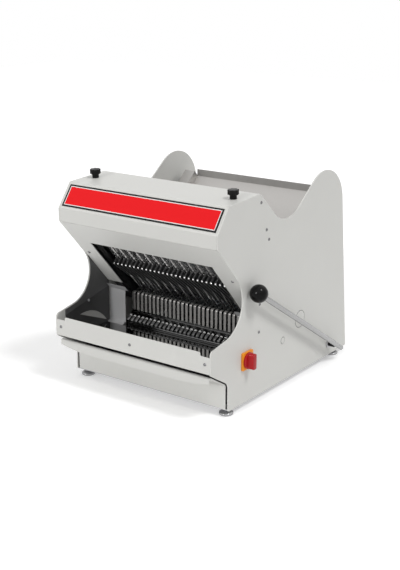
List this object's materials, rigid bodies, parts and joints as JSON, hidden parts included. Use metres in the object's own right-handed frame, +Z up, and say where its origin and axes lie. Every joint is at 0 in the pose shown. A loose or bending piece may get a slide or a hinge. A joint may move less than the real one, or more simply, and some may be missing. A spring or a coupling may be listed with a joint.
{
  "type": "bread slicer",
  "caption": "Table-top bread slicing machine: sheet housing with leaning reciprocating blade frames, lever-driven comb pusher, hopper, outfeed trough and crumb drawer.",
  "frame": {"origin": "floor level, under the middle of the model's box", "axes": "+Z up, +Y towards the rear, +X towards the lever side; the outfeed mouth faces -Y"},
  "size_m": [0.598, 0.7318, 0.6083],
  "materials": {
    "body_paint": "light warm grey satin paint",
    "stainless": "brushed stainless sheet",
    "dark_liner": "dark grey matt",
    "red_label": "glossy red",
    "steel": "drawn steel",
    "blade_steel": "ground steel",
    "dark_iron": "dark grey paint",
    "casting": "plain casting",
    "motor_paint": "grey paint",
    "screw_steel": "zinc plated",
    "chrome": "polished",
    "black_plastic": "glossy black",
    "slide_plastic": "dark slide plastic",
    "belt_rubber": "black rubber",
    "switch_yellow": "orange-yellow",
    "switch_red": "red"
  },
  "bodies": {
    "housing": {"left_side_panel": "body_paint", "right_side_panel": "body_paint", "rear_panel": "body_paint", "hood_cover": "body_paint", "guard_plate": "body_paint", "hopper_front_plate": "body_paint", "nose_plate": "body_paint", "hole_plugs": "body_paint", "hopper_chute": "stainless", "outfeed_comb": "stainless", "outfeed_trough": "stainless", "left_cheek": "stainless", "right_cheek": "stainless", "side_liners": "dark_liner", "switch_body": "dark_liner", "label_plate": "red_label", "tie_bars": "steel", "hood_brackets": "steel", "base_plate": "steel", "motor_bracket": "steel", "left_crank_bearing": "casting", "right_crank_bearing": "casting", "motor_body": "motor_paint", "panel_screws": "screw_steel", "front_screws": "screw_steel", "left_lever_bush": "screw_steel", "right_lever_bush": "screw_steel", "feet": "chrome", "cable_gland": "black_plastic", "left_frame_guide": "slide_plastic", "right_frame_guide": "slide_plastic", "drawer_runners": "slide_plastic", "drive_belt": "belt_rubber", "arm_stops": "belt_rubber", "switch_plate": "switch_yellow"},
    "pusher": {"lever_shaft": "steel", "lever_boss": "black_plastic", "lever_rod": "steel", "lever_ball": "black_plastic", "left_pusher_arm": "steel", "right_pusher_arm": "steel", "pusher_bar": "steel", "pusher_fingers": "stainless"},
    "front_blade_set": {"front_blade_frame": "dark_iron", "front_blades": "blade_steel", "front_clamp_screws": "screw_steel", "front_yoke": "dark_iron"},
    "rear_blade_set": {"rear_blade_frame": "dark_iron", "rear_blades": "blade_steel", "rear_yoke": "dark_iron"},
    "crank": {"crankshaft": "steel", "crank_pulley": "casting"},
    "motor_rotor": {"motor_shaft": "steel", "motor_pulley": "casting"},
    "drawer": {"crumb_drawer": "stainless", "drawer_front": "body_paint"},
    "switch_handle": {"switch_knob": "switch_red"},
    "left_knob": {"left_hood_knob": "black_plastic"},
    "right_knob": {"right_hood_knob": "black_plastic"}
  },
  "joints": [
    {"name": "lever", "type": "hinge", "parent": "housing", "child": "pusher", "pos_m": [-0.023, 0.24961, 0.059], "axis": [-1, 0, 0], "range_deg": [0, 32]},
    {"name": "crank_turn", "type": "hinge", "parent": "housing", "child": "crank", "pos_m": [-0.023, 0.05752, 0.09641], "axis": [1, 0, 0], "range_deg": [-90, 90]},
    {"name": "front_blades_slide", "type": "slide", "parent": "housing", "child": "front_blade_set", "axis": [0, -0.6691, 0.7431], "range_m": [-0.01, 0.01]},
    {"name": "rear_blades_slide", "type": "slide", "parent": "housing", "child": "rear_blade_set", "axis": [0, -0.6691, 0.7431], "range_m": [-0.01, 0.01]},
    {"name": "motor_turn", "type": "hinge", "parent": "housing", "child": "motor_rotor", "pos_m": [-0.023, 0.16361, 0.18], "axis": [1, 0, 0], "range_deg": [-190, 190]},
    {"name": "drawer_slide", "type": "slide", "parent": "housing", "child": "drawer", "axis": [0, -1, 0], "range_m": [0, 0.22]},
    {"name": "switch_turn", "type": "hinge", "parent": "housing", "child": "switch_handle", "pos_m": [0.257, -0.19889, 0.142], "axis": [1, 0, 0], "range_deg": [0, 90]},
    {"name": "left_knob_turn", "type": "hinge", "parent": "housing", "child": "left_knob", "pos_m": [-0.258, -0.21639, 0.58255], "axis": [0, -0.0506, 0.9987], "continuous": true},
    {"name": "right_knob_turn", "type": "hinge", "parent": "housing", "child": "right_knob", "pos_m": [0.212, -0.21639, 0.58255], "axis": [0, -0.0506, 0.9987], "continuous": true}
  ],
  "couplings": [
    {"joint": "front_blades_slide", "follows": "crank_turn", "m_per_rad": 0.006366},
    {"joint": "rear_blades_slide", "follows": "crank_turn", "m_per_rad": -0.006366},
    {"joint": "motor_turn", "follows": "crank_turn", "ratio": 2.0435}
  ]
}
